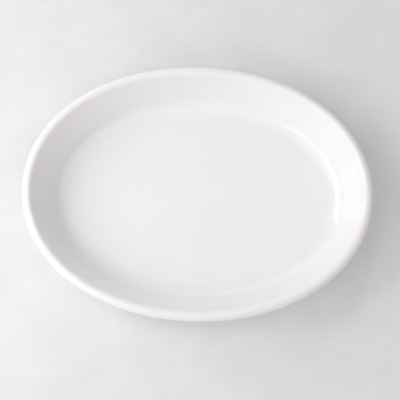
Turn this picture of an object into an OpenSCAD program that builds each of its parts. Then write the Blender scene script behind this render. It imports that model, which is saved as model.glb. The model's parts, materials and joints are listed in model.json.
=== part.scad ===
// Oval serving platter in glazed china, with a rolled rim and a foot ring.
// Millimetres. The foot stands on z = 0, the centre of the oval is the origin,
// x runs along the oval and y across it.

/* [Outline] */
// Radius of the arc round each end of the oval
end_r = 126; // [120:1:132]
// Radius of the arc next to each end
shoulder_r = 165; // [150:1:180]
// Radius of the arc next to each long side
flank_r = 204; // [190:1:220]
// Radius of the arc along each long side
side_r = 284; // [260:1:310]

/* [Wall and floor] */
// Height from the foot to the top of the rim
height = 52; // [46:1:58]
// Slope of the wall, in degrees from level
wall_slope = 59; // [56:1:62]
// Radius of the inside curve from the wall to the floor
cove_r = 21; // [18:1:28]
// Thickness of the wall and the floor, glaze included
wall = 6; // [5:0.5:8]

/* [Rim] */
// Radius of the rolled rim
rim_r = 7; // [5.5:0.25:8]
// How far the roll stands out from the inner face of the wall
rim_proud = 1; // [0.5:0.25:2]
// Radius of the hollow under the roll, inside and outside
rim_fillet = 7; // [4:0.5:10]

/* [Foot] */
// Height of the underside above the foot's bearing face
foot_height = 3; // [3:0.5:4]
// Distance of the foot's outer side inside the outermost edge of the rim
foot_inset = 38; // [37:1:42]
// Width of the foot ring
foot_w = 8; // [7:0.5:10]
// Radius of the foot's two lower edges
foot_edge = 1; // [0.6:0.1:1]
// Radius of the hollows where the foot meets the body
foot_fillet = 1.5; // [1:0.1:1.5]

/* [Glaze] */
// Thickness of the glaze
glaze = 0.5; // [0.3:0.1:0.8]
// Height above the bearing face at which the glaze is wiped off the foot
glaze_stop = 1.2; // [1.2:0.1:1.4]

/* [Hidden] */
$fn = 180;

// How far a straight step of the section may lie off its round
FLATNESS = 0.03;

// A quarter of the outline is four tangent arcs. They meet where the outline faces these
// ways: 3-4-5 and 7-24-25 directions keep every centre on an exact decimal, so that
// neighbouring sectors share one end face.
ARC_R = [end_r, shoulder_r, flank_r, side_r];
SEAM = [[1, 0], [0.8, 0.6], [0.6, 0.8], [0.28, 0.96], [0, 1]];
ARCS = len(ARC_R);
QUARTERS = [[1, 1], [-1, 1], [-1, -1], [1, -1]];

// Half the length, which the centre of the last arc has to be on the y axis for
half_length = end_r + (shoulder_r - end_r) * SEAM[1][0] + (flank_r - shoulder_r) * SEAM[2][0]
    + (side_r - flank_r) * SEAM[3][0];

// Where the swept ring ends and the middle plate begins, both in the flat of the floor
RING_INSET = 85;
PLATE_INSET = 70;
WEDGE_REACH = 500;

// The section is drawn with x as the distance in from the outermost edge, and z up
across = [sin(wall_slope), cos(wall_slope)];
down = [cos(wall_slope), -sin(wall_slope)];
floor_z = foot_height + wall;
rim_c = [rim_r, height - rim_r];
face_at = rim_r - rim_proud;
inner_fillet_c = fillet_centre(face_at + rim_fillet);
outer_fillet_c = fillet_centre(face_at - wall - rim_fillet);
roll_from = heading(rim_c - inner_fillet_c) - 180;
roll_to = heading(outer_fillet_c - rim_c);
cove_c = cove_centre();
outer_cove_r = cove_r + wall;
foot_out = foot_inset + glaze;
foot_in = foot_inset + foot_w - glaze;
foot_fillet_c = foot_fillet_centre();

// The direction of a vector in degrees, from 0 to 360
function heading(v) = (atan2(v[1], v[0]) + 360) % 360;

// A point moved to whole microns, so that the rounds of all four arcs match
function micron(v) = [for (k = v) round(k * 1000) / 1000];

function arc(centre, r, from, to) =
    let (steps = ceil(abs(to - from) / (2 * acos(1 - FLATNESS / r))))
    [for (i = [0 : steps])
        let (a = from + (to - from) * i / steps)
        centre + r * [cos(a), sin(a)]];

// The points after the first, for a round that starts where the one before it ends
function onward(points) = [for (i = [1 : len(points) - 1]) points[i]];

// The centre of the hollow under the roll that lies at a signed distance from the roll's
// centre, measured across the wall
function fillet_centre(at) =
    rim_c + at * across + sqrt(pow(rim_r + rim_fillet, 2) - at * at) * down;

// The centre of the cove: its circle touches both the floor and the wall's inner face
function cove_centre() =
    let (face = rim_c + face_at * across)
    let (z = floor_z + cove_r)
    let (run = (z - cove_r * across[1] - face[1]) / down[1])
    [face[0] + run * down[0] + cove_r * across[0], z];

// The centre of the hollow between the outer curve of the wall and the foot's outer side
function foot_fillet_centre() =
    let (x = foot_inset - foot_fillet)
    [x, cove_c[1] - sqrt(pow(outer_cove_r + foot_fillet, 2) - pow(cove_c[0] - x, 2))];

// The surface from the floor over the rim and down to the foot, a given depth under the
// outer face of the glaze
function upper_skin(depth) = concat(
    [[RING_INSET, floor_z - depth]],
    arc(cove_c, cove_r + depth, 270, 270 - wall_slope),
    arc(inner_fillet_c, rim_fillet + depth, 270 - wall_slope, roll_from + 180),
    onward(arc(rim_c, rim_r - depth, roll_from, roll_to)),
    onward(arc(outer_fillet_c, rim_fillet + depth, roll_to - 180, 90 - wall_slope)),
    arc(cove_c, outer_cove_r - depth, 270 - wall_slope, heading(foot_fillet_c - cove_c)),
    onward(arc(foot_fillet_c, foot_fillet + depth, heading(cove_c - foot_fillet_c), 0)),
    [[foot_inset + depth, glaze_stop]]
);

// The surface inside the foot ring, from the wiped edge up to the underside of the floor
function lower_skin(depth) =
    let (x = foot_inset + foot_w)
    concat(
        [[x - depth, glaze_stop]],
        arc([x + foot_fillet, foot_height - foot_fillet], foot_fillet + depth, 180, 90),
        [[RING_INSET, foot_height + depth]]
    );

// The bare clay of the foot, between the two edges of the glaze
function bare_foot() = concat(
    arc([foot_out + foot_edge, foot_edge], foot_edge, 180, 270),
    arc([foot_in - foot_edge, foot_edge], foot_edge, 270, 360)
);

function reversed(points) = [for (i = [len(points) - 1 : -1 : 0]) points[i]];

function arc_centre(i) =
    i == 0 ? [half_length - end_r, 0] : arc_centre(i - 1) - (ARC_R[i] - ARC_R[i - 1]) * SEAM[i];

// The part of the plane between the two seams that bound an arc
module wedge(i) {
    linear_extrude(3 * height, center = true)
        polygon([[0, 0], WEDGE_REACH * SEAM[i], WEDGE_REACH * SEAM[i + 1]]);
}

// Sweeps a section round the oval
module sweep(section) {
    for (quarter = QUARTERS)
        mirror([quarter[0] < 0 ? 1 : 0, 0, 0])
            mirror([0, quarter[1] < 0 ? 1 : 0, 0])
                for (i = [0 : ARCS - 1])
                    translate(arc_centre(i))
                        intersection() {
                            rotate_extrude()
                                polygon([for (p = section) micron([ARC_R[i] - p[0], p[1]])]);
                            wedge(i);
                        }
}

// Fills the middle of the oval between two heights
module plate(low, high) {
    corner = [for (i = [1 : ARCS - 1]) arc_centre(i) + (ARC_R[i] - PLATE_INSET) * SEAM[i]];
    translate([0, 0, low])
        linear_extrude(high - low)
            polygon([for (q = [0 : 3])
                for (c = QUARTERS[q][0] * QUARTERS[q][1] > 0 ? corner : reversed(corner))
                    [c[0] * QUARTERS[q][0], c[1] * QUARTERS[q][1]]]);
}

// The fired clay: floor, coved wall, rolled rim and foot ring in one piece
module clay_body() {
    color("ivory") {
        sweep(concat(upper_skin(glaze), bare_foot(), lower_skin(glaze)));
        plate(foot_height + glaze, floor_z - glaze);
    }
}

// The glaze over the inside, the rim and the outside, down to the foot
module glaze_coat() {
    color("white") {
        sweep(concat(upper_skin(0), reversed(upper_skin(glaze))));
        plate(floor_z - glaze, floor_z);
    }
}

// The glaze under the floor, inside the foot ring
module base_glaze() {
    color("whitesmoke") {
        sweep(concat(lower_skin(0), reversed(lower_skin(glaze))));
        plate(foot_height, foot_height + glaze);
    }
}

clay_body();
glaze_coat();
base_glaze();
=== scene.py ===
# An oval serving platter in glazed china: the fired clay, its glaze, a table, the light and the camera.

import json
import math

import bpy
import numpy as np
from mathutils import Matrix, Vector


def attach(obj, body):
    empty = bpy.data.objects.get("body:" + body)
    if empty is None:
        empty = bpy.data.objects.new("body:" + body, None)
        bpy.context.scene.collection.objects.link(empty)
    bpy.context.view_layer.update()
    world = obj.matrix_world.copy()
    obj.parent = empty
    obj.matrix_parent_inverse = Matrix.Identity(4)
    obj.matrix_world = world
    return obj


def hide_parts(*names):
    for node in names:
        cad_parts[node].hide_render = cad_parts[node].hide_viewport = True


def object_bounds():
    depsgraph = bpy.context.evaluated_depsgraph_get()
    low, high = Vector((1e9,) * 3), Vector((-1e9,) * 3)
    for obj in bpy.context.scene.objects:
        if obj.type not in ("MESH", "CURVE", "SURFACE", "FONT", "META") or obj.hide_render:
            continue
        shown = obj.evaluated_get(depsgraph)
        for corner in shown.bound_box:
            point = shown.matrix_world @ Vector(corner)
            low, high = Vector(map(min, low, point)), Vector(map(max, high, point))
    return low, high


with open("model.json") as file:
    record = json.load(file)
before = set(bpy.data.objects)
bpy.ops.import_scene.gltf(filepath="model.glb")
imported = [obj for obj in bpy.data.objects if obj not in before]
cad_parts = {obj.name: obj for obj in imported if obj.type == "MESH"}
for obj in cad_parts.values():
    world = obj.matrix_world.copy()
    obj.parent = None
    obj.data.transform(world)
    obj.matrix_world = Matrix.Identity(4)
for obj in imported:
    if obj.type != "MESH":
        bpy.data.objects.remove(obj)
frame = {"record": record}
cad_low, cad_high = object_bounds()

# ---------------------------------------------------------------- sizes, in millimetres

MM = 0.001
mounts = {m["name"]: m for m in frame["record"]["mounts"]}
HALF_LENGTH = (cad_high.x - cad_low.x) / 2 / MM
HALF_WIDTH = (cad_high.y - cad_low.y) / 2 / MM
HEIGHT = cad_high.z / MM
FLOOR_Z = mounts["well_floor"]["pos_m"][2] / MM
UNDERSIDE_Z = 3.0

FULLNESS = 1.5           # how far the oval stands outside a true ellipse between its ends and sides
GLAZE = 0.5              # thickness of the glaze
WALL = FLOOR_Z - UNDERSIDE_Z   # glaze included
WALL_SLOPE = math.radians(59)
COVE_R = 21.0
RIM_R = 7.0
RIM_PROUD = 1.0
RIM_FILLET = 7.0
FOOT_INSET = 38.0
FOOT_W = 8.0
FOOT_EDGE = 1.0
FOOT_FILLET = 1.5
GLAZE_STOP = 1.2
FLAT_INSET = 64.0        # from here inwards the section is flat

AROUND = 384             # points round the oval
ARC_STEP = math.radians(4)
SPACING = 1.5            # steps along the section
RIM_BLEND = 1.7          # how far the rounds run into each other over the roll
BOWL_BLEND = 4.0         # and in the bowl
ROLL_END = 2 * RIM_R + 1       # from here inwards the bowl's blend holds alone
DISC_RINGS = 8           # rings across the flat middle

# ---------------------------------------------------------------- the section

ACROSS = np.array([math.sin(WALL_SLOPE), math.cos(WALL_SLOPE)])
DOWN = np.array([math.cos(WALL_SLOPE), -math.sin(WALL_SLOPE)])
RIM_C = np.array([RIM_R, HEIGHT - RIM_R])


def fillet_centre(at):
    """Centre of the hollow under the roll that lies that far across the wall from the roll's centre."""
    return RIM_C + at * ACROSS + math.sqrt((RIM_R + RIM_FILLET) ** 2 - at * at) * DOWN


def cove_centre():
    """Centre of the cove, whose circle touches the floor and the wall's inner face."""
    face = RIM_C + (RIM_R - RIM_PROUD) * ACROSS
    z = FLOOR_Z + COVE_R
    run = (z - COVE_R * ACROSS[1] - face[1]) / DOWN[1]
    return np.array([face[0] + run * DOWN[0] + COVE_R * ACROSS[0], z])


QUARTER = math.pi / 2
TURN = 2 * math.pi
INNER_C = fillet_centre(RIM_R - RIM_PROUD + RIM_FILLET)
OUTER_C = fillet_centre(RIM_R - RIM_PROUD - WALL - RIM_FILLET)
COVE_C = cove_centre()
OUTER_COVE_R = COVE_R + WALL
FOOT_C = np.array([FOOT_INSET - FOOT_FILLET, 0.0])
FOOT_C[1] = COVE_C[1] - math.sqrt((OUTER_COVE_R + FOOT_FILLET) ** 2 - (COVE_C[0] - FOOT_C[0]) ** 2)


def heading(v):
    """Direction of a vector, from 0 to a full turn."""
    return math.atan2(v[1], v[0]) % TURN


ROLL_FROM = heading(RIM_C - INNER_C) - math.pi
ROLL_TO = heading(OUTER_C - RIM_C)


def arc(centre, r, start, end):
    steps = max(2, math.ceil(abs(end - start) / ARC_STEP))
    angles = np.linspace(start, end, steps + 1)
    return np.column_stack([centre[0] + r * np.cos(angles), centre[1] + r * np.sin(angles)])


def upper_skin(depth):
    """Floor, cove, wall, rim and outside, to the glaze's edge on the foot, at a depth in the glaze."""
    bowl = np.vstack([
        [[FLAT_INSET, FLOOR_Z - depth]],
        arc(COVE_C, COVE_R + depth, 3 * QUARTER, 3 * QUARTER - WALL_SLOPE),
        arc(INNER_C, RIM_FILLET + depth, 3 * QUARTER - WALL_SLOPE, ROLL_FROM + math.pi),
        arc(RIM_C, RIM_R - depth, ROLL_FROM, ROLL_TO),
        arc(OUTER_C, RIM_FILLET + depth, ROLL_TO - math.pi, QUARTER - WALL_SLOPE),
        arc(COVE_C, OUTER_COVE_R - depth, 3 * QUARTER - WALL_SLOPE, heading(FOOT_C - COVE_C)),
    ])
    bowl = soften(bowl)
    foot = arc(FOOT_C, FOOT_FILLET + depth, heading(COVE_C - FOOT_C), 0)
    return np.vstack([bowl, foot[1:], [[FOOT_INSET + depth, GLAZE_STOP]]])


def lower_skin(depth):
    """Inside of the foot ring, from the glaze's edge up to the underside of the floor."""
    x = FOOT_INSET + FOOT_W
    parts = [
        [[x - depth, GLAZE_STOP]],
        arc((x + FOOT_FILLET, UNDERSIDE_Z - FOOT_FILLET), FOOT_FILLET + depth, math.pi, QUARTER),
        [[FLAT_INSET, UNDERSIDE_Z + depth]],
    ]
    return np.vstack(parts)


def bare_foot():
    """The bare clay that the platter stands on."""
    out, back = FOOT_INSET + GLAZE, FOOT_INSET + FOOT_W - GLAZE
    return np.vstack([
        arc((out + FOOT_EDGE, FOOT_EDGE), FOOT_EDGE, math.pi, 3 * QUARTER),
        arc((back - FOOT_EDGE, FOOT_EDGE), FOOT_EDGE, 3 * QUARTER, TURN),
    ])


def resample(points, spacing):
    """The same line with its points closer together, so that no step is longer than the spacing."""
    out = [points[0]]
    for a, b in zip(points[:-1], points[1:]):
        n = max(1, math.ceil(np.linalg.norm(b - a) / spacing))
        out += [a + (b - a) * k / n for k in range(1, n + 1)]
    return np.array(out)


def blended(line, width):
    """The same evenly spaced line with its curvature blended over that width, and its ends kept."""
    reach = math.ceil(3 * width / SPACING)
    offsets = np.arange(-reach, reach + 1)
    weights = np.exp(-0.5 * (offsets * SPACING / width) ** 2)
    weights /= weights.sum()
    before = 2 * line[0] - line[reach:0:-1]
    after = 2 * line[-1] - line[-2:-reach - 2:-1]
    padded = np.vstack([before, line, after])
    return np.column_stack([np.convolve(padded[:, k], weights, mode="valid") for k in (0, 1)])


def soften(points):
    """The same line in even steps, blended widely in the bowl and narrowly over the roll."""
    fine = resample(points, SPACING)
    run = np.concatenate([[0], np.cumsum(np.linalg.norm(np.diff(fine, axis=0), axis=1))])
    even = np.linspace(0, run[-1], math.ceil(run[-1] / SPACING) + 1)
    line = np.column_stack([np.interp(even, run, fine[:, k]) for k in (0, 1)])
    on_roll = np.clip((ROLL_END - line[:, 0]) / RIM_R, 0, 1)
    share = (on_roll * on_roll * (3 - 2 * on_roll))[:, None]
    return blended(line, BOWL_BLEND) * (1 - share) + blended(line, RIM_BLEND) * share


# ---------------------------------------------------------------- the oval

turn = np.linspace(0, TURN, AROUND, endpoint=False)
edge = np.column_stack([HALF_LENGTH * np.cos(turn), HALF_WIDTH * np.sin(turn)])


def outward(points):
    """Unit normals of a closed line that runs anticlockwise."""
    along = np.roll(points, -1, axis=0) - np.roll(points, 1, axis=0)
    normal = np.column_stack([along[:, 1], -along[:, 0]])
    return normal / np.linalg.norm(normal, axis=1)[:, None]


edge = edge + (FULLNESS * np.sin(2 * turn) ** 2)[:, None] * outward(edge)
edge_normal = outward(edge)


def ring(inset, z):
    """One turn round the oval at that distance in from the edge and that height."""
    xy = edge - inset * edge_normal
    return np.column_stack([xy, np.full(AROUND, z)])


def disc(z):
    """Rings at that height that shrink the flat middle evenly to nearly nothing."""
    start = edge - FLAT_INSET * edge_normal
    shares = [1 - k / (DISC_RINGS + 1) for k in range(1, DISC_RINGS + 1)]
    return [np.column_stack([start * share, np.full(AROUND, z)]) for share in shares]


def solid(name, rings):
    """A closed mesh from rings, with a fan over the first ring and over the last."""
    verts = np.vstack(rings + [rings[0].mean(0), rings[-1].mean(0)])
    top, bottom = len(verts) - 2, len(verts) - 1
    last = (len(rings) - 1) * AROUND
    faces = []
    for i in range(AROUND):
        n = (i + 1) % AROUND
        faces.append((top, i, n))
        faces += [(a + i, a + AROUND + i, a + AROUND + n, a + n) for a in range(0, last, AROUND)]
        faces.append((bottom, last + n, last + i))
    mesh = bpy.data.meshes.new(name)
    mesh.from_pydata((verts * MM).tolist(), [], faces)
    mesh.update()
    mesh.polygons.foreach_set("use_smooth", [True] * len(mesh.polygons))
    piece = bpy.data.objects.new(name, mesh)
    bpy.context.scene.collection.objects.link(piece)
    return piece


def rings_of(points):
    return [ring(x, z) for x, z in points]


glaze_top = upper_skin(0)
glaze_back = upper_skin(GLAZE)[::-1]
coat_rings = (
    disc(FLOOR_Z)[::-1]
    + rings_of(glaze_top)
    + rings_of(glaze_back)
    + disc(FLOOR_Z - GLAZE)
)
coat = solid("glaze_skin", coat_rings)

clay_line = np.vstack([upper_skin(GLAZE), bare_foot(), lower_skin(GLAZE)])
clay_rings = (
    disc(FLOOR_Z - GLAZE)[::-1]
    + rings_of(resample(clay_line, 4 * SPACING))
    + disc(UNDERSIDE_Z + GLAZE)
)
clay = solid("clay", clay_rings)

base_rings = (
    disc(UNDERSIDE_Z + GLAZE)[::-1]
    + rings_of(lower_skin(GLAZE)[::-1])
    + rings_of(resample(lower_skin(0), 2 * SPACING))
    + disc(UNDERSIDE_Z)
)
base = solid("base_glaze_skin", base_rings)

for piece, node, slot in (
    (coat, "glaze_coat", "glaze"),
    (clay, "clay_body", "bisque"),
    (base, "base_glaze", "glaze"),
):
    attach(piece, "root")
    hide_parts(node)

# ---------------------------------------------------------------- materials


def maths_node(tree, operation, a, b):
    """One operation on two inputs, each a number or a socket."""
    node = tree.nodes.new("ShaderNodeMath")
    node.operation = operation
    for socket, value in zip(node.inputs, (a, b)):
        if isinstance(value, (int, float)):
            socket.default_value = value
        else:
            tree.links.new(value, socket)
    return node.outputs[0]


class Shader:
    """A Principled material with helpers that lay down variation in the piece's own coordinates."""

    def __init__(self, name):
        self.material = bpy.data.materials.new(name)
        self.material.use_nodes = True
        self.tree = self.material.node_tree
        self.surface = self.tree.nodes["Principled BSDF"]
        self.place = self.tree.nodes.new("ShaderNodeTexCoord").outputs["Object"]

    def link(self, a, b):
        self.tree.links.new(a, b)

    def noise(self, scale, detail=2.0, roughness=0.5, stretch=None):
        """Noise from 0 to 1. The scale is in features per metre."""
        node = self.tree.nodes.new("ShaderNodeTexNoise")
        node.inputs["Scale"].default_value = scale
        node.inputs["Detail"].default_value = detail
        node.inputs["Roughness"].default_value = roughness
        place = self.place
        if stretch:
            turn = self.tree.nodes.new("ShaderNodeMapping")
            turn.inputs["Scale"].default_value = stretch
            self.link(place, turn.inputs["Vector"])
            place = turn.outputs["Vector"]
        self.link(place, node.inputs["Vector"])
        return node.outputs["Fac"]

    def height(self, low, high):
        """0 at and below one height and 1 at and above another, in metres."""
        split = self.tree.nodes.new("ShaderNodeSeparateXYZ")
        self.link(self.place, split.inputs[0])
        return self.span(split.outputs["Z"], low, high, 0, 1)

    def span(self, value, low, high, to_low, to_high):
        node = self.tree.nodes.new("ShaderNodeMapRange")
        node.interpolation_type = "SMOOTHSTEP"
        node.inputs["From Min"].default_value = low
        node.inputs["From Max"].default_value = high
        node.inputs["To Min"].default_value = to_low
        node.inputs["To Max"].default_value = to_high
        self.link(value, node.inputs["Value"])
        return node.outputs["Result"]

    def maths(self, operation, a, b):
        return maths_node(self.tree, operation, a, b)

    def blend(self, amount, a, b):
        """Colour a where the amount is 0, and b where it is 1. Either may be a colour or a socket."""
        node = self.tree.nodes.new("ShaderNodeMix")
        node.data_type = "RGBA"
        colours = [socket for socket in node.inputs if socket.type == "RGBA"]
        self.link(amount, node.inputs["Factor"])
        for socket, colour in zip(colours, (a, b)):
            if isinstance(colour, tuple):
                socket.default_value = (*colour, 1)
            else:
                self.link(colour, socket)
        return next(socket for socket in node.outputs if socket.type == "RGBA")

    def bump(self, value, depth, under=None):
        """Relief that deep, in metres, laid over another relief."""
        node = self.tree.nodes.new("ShaderNodeBump")
        node.inputs["Distance"].default_value = depth
        self.link(value, node.inputs["Height"])
        if under:
            self.link(under, node.inputs["Normal"])
        return node.outputs["Normal"]


GLAZE_WHITE = (0.93, 0.916, 0.927)
GLAZE_SHADE = (0.918, 0.903, 0.913)
GLAZE_POOLED = (0.918, 0.907, 0.915)
GLAZE_THIN = (0.922, 0.902, 0.898)
CLAY_PALE = (0.83, 0.79, 0.73)
CLAY_WARM = (0.77, 0.72, 0.65)
CLAY_SPECK = (0.52, 0.45, 0.38)
CLAY_RUBBED = (0.58, 0.56, 0.53)
PLASTER_DARK = (0.790, 0.792, 0.800)
PLASTER_PALE = (0.830, 0.832, 0.840)

# Heights in metres between which each change of colour comes in
POOL_STARTS = (0.0092, 0.0105)
POOL_ENDS = (0.014, 0.026)
THIN_STARTS = (0.046, 0.0515)
FOOT_FACE_ENDS = (0.0001, 0.0008)

COAT_POLISH = 0.05        # roughness of the coat where it is glossiest
BASE_POLISH = 0.09        # and of the glaze under the floor
POLISH_SPREAD = 0.05      # how much rougher the dullest places are
GLAZE_IOR = 1.52


def glaze_shader(name, polish):
    """White glass on clay: duller where it pools in the cove, warmer where it thins over the rim."""
    shader = Shader(name)
    white = shader.blend(shader.span(shader.noise(9, 3), 0.35, 0.65, 0, 1), GLAZE_WHITE, GLAZE_SHADE)
    below_wall = shader.maths("SUBTRACT", 1, shader.height(*POOL_ENDS))
    in_cove = shader.maths("MULTIPLY", shader.height(*POOL_STARTS), below_wall)
    pooled = shader.maths("MULTIPLY", in_cove, shader.span(shader.noise(22), 0.3, 0.7, 0.3, 1))
    on_rim = shader.height(*THIN_STARTS)
    thin = shader.maths("MULTIPLY", on_rim, shader.span(shader.noise(34), 0.35, 0.7, 0.2, 0.9))
    color = shader.blend(thin, shader.blend(pooled, white, GLAZE_POOLED), GLAZE_THIN)
    shader.link(color, shader.surface.inputs["Base Color"])
    gloss = shader.span(shader.noise(38, 4, 0.6), 0.3, 0.72, polish, polish + POLISH_SPREAD)
    shader.link(gloss, shader.surface.inputs["Roughness"])
    waves = shader.bump(shader.noise(42, 1), 0.00022)
    peel = shader.bump(shader.noise(230, 2), 0.00003, waves)
    shader.link(peel, shader.surface.inputs["Normal"])
    shader.surface.inputs["IOR"].default_value = GLAZE_IOR
    return shader.material


def bisque_shader():
    """Fired clay, ground flat on the foot: chalky, faintly speckled and a little grey where it rubs."""
    shader = Shader("bisque")
    body = shader.blend(shader.span(shader.noise(14, 4), 0.35, 0.65, 0, 1), CLAY_PALE, CLAY_WARM)
    specks = shader.span(shader.noise(1500, 1), 0.70, 0.78, 0, 0.6)
    speckled = shader.blend(specks, body, CLAY_SPECK)
    on_face = shader.maths("SUBTRACT", 1, shader.height(*FOOT_FACE_ENDS))
    patchy = shader.span(shader.noise(60, 5, 0.7), 0.45, 0.7, 0, 0.55)
    rubbed = shader.maths("MULTIPLY", on_face, patchy)
    shader.link(shader.blend(rubbed, speckled, CLAY_RUBBED), shader.surface.inputs["Base Color"])
    shader.link(shader.span(shader.noise(90, 3), 0.3, 0.7, 0.78, 0.93), shader.surface.inputs["Roughness"])
    shader.link(shader.bump(shader.noise(1300, 3, 0.7), 0.00008), shader.surface.inputs["Normal"])
    return shader.material


def table_shader():
    """Plain pale plaster with a faint cloudiness."""
    shader = Shader("table")
    clouds = shader.noise(16, 6, 0.66, stretch=(0.8, 1.0, 1.0))
    color = shader.blend(shader.span(clouds, 0.34, 0.66, 0, 1), PLASTER_DARK, PLASTER_PALE)
    shader.link(color, shader.surface.inputs["Base Color"])
    shader.link(shader.span(shader.noise(40, 4), 0.3, 0.7, 0.6, 0.78), shader.surface.inputs["Roughness"])
    shader.link(shader.bump(shader.noise(160, 4, 0.6), 0.00012), shader.surface.inputs["Normal"])
    return shader.material


coat.data.materials.append(glaze_shader("white_glaze", COAT_POLISH))
base.data.materials.append(glaze_shader("base_glaze", BASE_POLISH))
clay.data.materials.append(bisque_shader())

# ---------------------------------------------------------------- table, camera, light

TABLE_SIDE = 12.0
TABLE_Z = -0.0001         # just under the foot, so that the two faces do not coincide
table_mesh = bpy.data.meshes.new("table")
CORNERS = ((-1, -1), (1, -1), (1, 1), (-1, 1))
corners = [(x * TABLE_SIDE / 2, y * TABLE_SIDE / 2, TABLE_Z) for x, y in CORNERS]
table_mesh.from_pydata(corners, [], [(0, 1, 2, 3)])
table = bpy.data.objects.new("table", table_mesh)
bpy.context.scene.collection.objects.link(table)
table_mesh.materials.append(table_shader())

CAMERA_ELEVATION = math.radians(74.8)
CAMERA_DISTANCE = 1.30
CAMERA_ROLL = math.radians(1.41)
CAMERA_AIM = Vector((0.0031, -0.0113, 0.046))
FRAME_WIDTH = 0.4605      # how wide the view is at the aim point
SENSOR_WIDTH = 36         # in millimetres

camera_data = bpy.data.cameras.new("camera")
camera_data.sensor_width = SENSOR_WIDTH
camera_data.lens = SENSOR_WIDTH * CAMERA_DISTANCE / FRAME_WIDTH
camera = bpy.data.objects.new("camera", camera_data)
bpy.context.scene.collection.objects.link(camera)
back = Vector((0, -math.cos(CAMERA_ELEVATION), math.sin(CAMERA_ELEVATION)))
camera.matrix_world = (
    Matrix.Translation(CAMERA_AIM + back * CAMERA_DISTANCE)
    @ back.to_track_quat("Z", "Y").to_matrix().to_4x4()
    @ Matrix.Rotation(CAMERA_ROLL, 4, "Z")
)
bpy.context.scene.camera = camera


def away_from_centre(azimuth, elevation):
    """Unit vector to a place round the platter, in degrees. Azimuth 0 is +X and 90 is +Y."""
    a, e = math.radians(azimuth), math.radians(elevation)
    return Vector((math.cos(a) * math.cos(e), math.sin(a) * math.cos(e), math.sin(e)))


SOFTBOX_COLOR = (0.98, 0.99, 1)


def softbox(name, azimuth, elevation, distance, width, height, power):
    """A rectangular light aimed at the platter, in metres and watts."""
    data = bpy.data.lights.new(name, "AREA")
    data.shape = "RECTANGLE"
    data.size, data.size_y = width, height
    data.energy = power
    data.color = SOFTBOX_COLOR
    light = bpy.data.objects.new(name, data)
    bpy.context.scene.collection.objects.link(light)
    away = away_from_centre(azimuth, elevation)
    facing = away.to_track_quat("Z", "Y").to_matrix().to_4x4()
    light.matrix_world = Matrix.Translation(away * distance) @ facing


# Name, azimuth, elevation, distance, width, height and power. The window has two panes
SOFTBOXES = (
    ("window_pane", 152.5, 34, 1.5, 0.46, 1.05, 4.3),
    ("window_pane", 175.5, 34, 1.5, 0.46, 1.05, 4.3),
    ("left", 208, 36, 1.7, 1.6, 1.2, 9.6),
    ("strip", 230, 75, 1.7, 1.6, 0.4, 1.9),
)
for box in SOFTBOXES:
    softbox(*box)

ROOM_COLOR = (1, 0.978, 0.956, 1)
ROOM = 0.04               # how bright the room is away from its patches
world = bpy.data.worlds.new("room")
world.use_nodes = True
nodes, links = world.node_tree.nodes, world.node_tree.links
background = nodes["Background"]
background.inputs["Color"].default_value = ROOM_COLOR
direction = nodes.new("ShaderNodeTexCoord")


def lobe(azimuth, elevation, width, strength):
    """A soft patch of brightness that fades to nothing at that many degrees from its middle."""
    dot = nodes.new("ShaderNodeVectorMath")
    dot.operation = "DOT_PRODUCT"
    links.new(direction.outputs["Generated"], dot.inputs[0])
    dot.inputs[1].default_value = away_from_centre(azimuth, elevation)
    fade = nodes.new("ShaderNodeMapRange")
    fade.interpolation_type = "SMOOTHERSTEP"
    fade.inputs["From Min"].default_value = math.cos(math.radians(width))
    fade.inputs["From Max"].default_value = 1
    fade.inputs["To Min"].default_value = 0
    fade.inputs["To Max"].default_value = strength
    links.new(dot.outputs["Value"], fade.inputs["Value"])
    return fade.outputs["Result"]


# Azimuth, elevation, width and strength of each soft patch of brightness
PATCHES = (
    (205, 42, 42, 0.38),
    (150, 65, 25, 0.55),
    (345, 66, 34, 1.05),
    (104, 22, 35, 1.24),
    (274, 25, 45, 0.88),
    (10, 25, 45, 0.45),
    (350, 12, 25, 0.2),
)
glow = ROOM
for patch in PATCHES:
    glow = maths_node(world.node_tree, "ADD", lobe(*patch), glow)
links.new(glow, background.inputs["Strength"])
bpy.context.scene.world = world
bpy.context.scene.view_settings.view_transform = "Standard"
